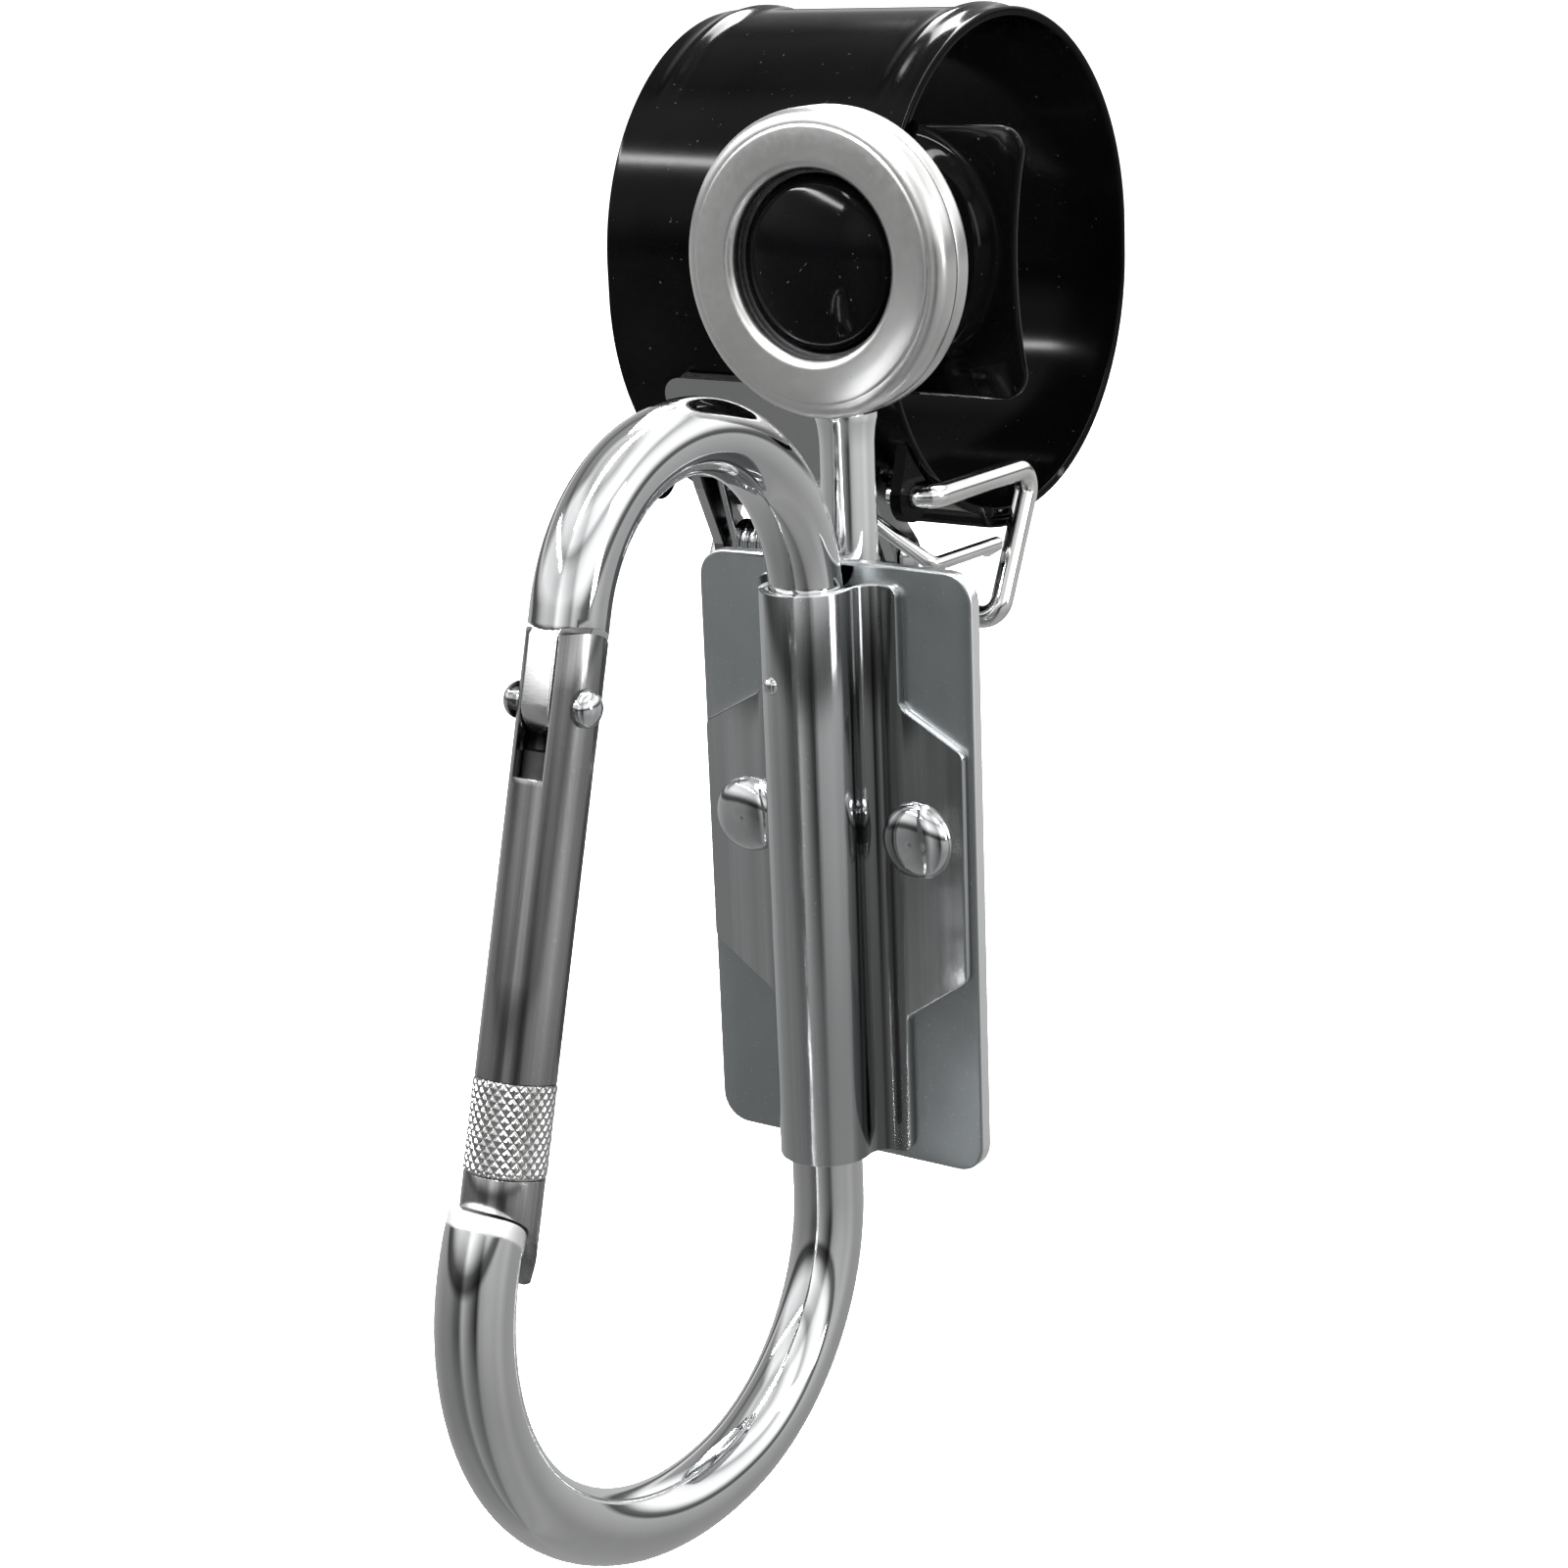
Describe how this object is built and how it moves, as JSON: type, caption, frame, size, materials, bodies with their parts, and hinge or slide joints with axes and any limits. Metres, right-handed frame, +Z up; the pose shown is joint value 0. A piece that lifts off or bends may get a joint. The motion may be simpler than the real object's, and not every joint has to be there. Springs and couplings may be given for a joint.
{
  "type": "belt tool holder with swivel carabiner",
  "caption": "Belt loop of black sheet steel with a swivelling pressed ring, a stem and riveted plate below it, and a gated carabiner that holds a tool at the wearer's hip.",
  "frame": {"origin": "Centre of the opening that the belt passes through.", "axes": "+X runs along the belt, to the right seen from the front; -Y points away from the wearer, where the ring and carabiner are; +Z is up as worn."},
  "size_m": [0.0598, 0.1423, 0.1679],
  "materials": {
    "black_steel": "gloss black baked finish, bare bright edges where rubbed",
    "satin_steel": "satin pressed steel with a burnished rim",
    "stem_steel": "bright drawn steel",
    "bush_nylon": "black moulded nylon",
    "spring_steel": "bright spring wire",
    "plate_steel": "polished stainless sheet, fine scratches",
    "rivet_steel": "polished stainless",
    "bright_bar": "polished stainless bar",
    "gate_steel": "drawn stainless tube, lengthwise grain",
    "grip_steel": "diamond knurl, bright",
    "wire_steel": "bright stainless wire"
  },
  "bodies": {
    "belt_loop": {"loop_band": "black_steel", "post_hat": "black_steel", "post_welds": "black_steel", "bail_ears": "black_steel", "latch_lugs": "black_steel", "latch_pin": "rivet_steel", "snap_ring": "spring_steel", "lever_springs": "spring_steel"},
    "swivel": {"ring_front_shell": "satin_steel", "ring_rear_shell": "satin_steel", "eye_bar": "stem_steel", "stem_sleeve": "stem_steel", "hub_bush": "bush_nylon", "back_plate": "plate_steel", "rear_saddle": "plate_steel", "spine_strap": "plate_steel", "plate_rivets": "rivet_steel", "spine_pin": "rivet_steel", "carabiner_frame": "bright_bar", "gate_pin": "rivet_steel"},
    "gate": {"gate_tube": "gate_steel", "grip_band": "grip_steel", "gate_plunger": "rivet_steel", "gate_spring": "spring_steel"},
    "lever": {"release_lever": "plate_steel", "keeper_wire": "wire_steel"},
    "bail": {"bail_wire": "wire_steel"}
  },
  "joints": [
    {"name": "ring_swivel", "type": "hinge", "parent": "belt_loop", "child": "swivel", "pos_m": [0.018, -0.0412, 0.0046], "axis": [0, 1, 0], "continuous": true},
    {"name": "gate_hinge", "type": "hinge", "parent": "swivel", "child": "gate", "pos_m": [0.018, -0.0902, -0.0342], "axis": [1, 0, 0], "range_deg": [0, 24], "stiffness_Nm_per_rad": 0.02, "springref_deg": -34.38},
    {"name": "lever_hinge", "type": "hinge", "parent": "belt_loop", "child": "lever", "pos_m": [0.001, -0.0167, -0.0334], "axis": [1, 0, 0], "range_deg": [0, 3.5], "stiffness_Nm_per_rad": 0.05, "springref_deg": -17.19},
    {"name": "bail_hinge", "type": "hinge", "parent": "belt_loop", "child": "bail", "pos_m": [0, -0.0226, -0.0246], "axis": [1, 0, 0], "range_deg": [-14, 25]}
  ]
}
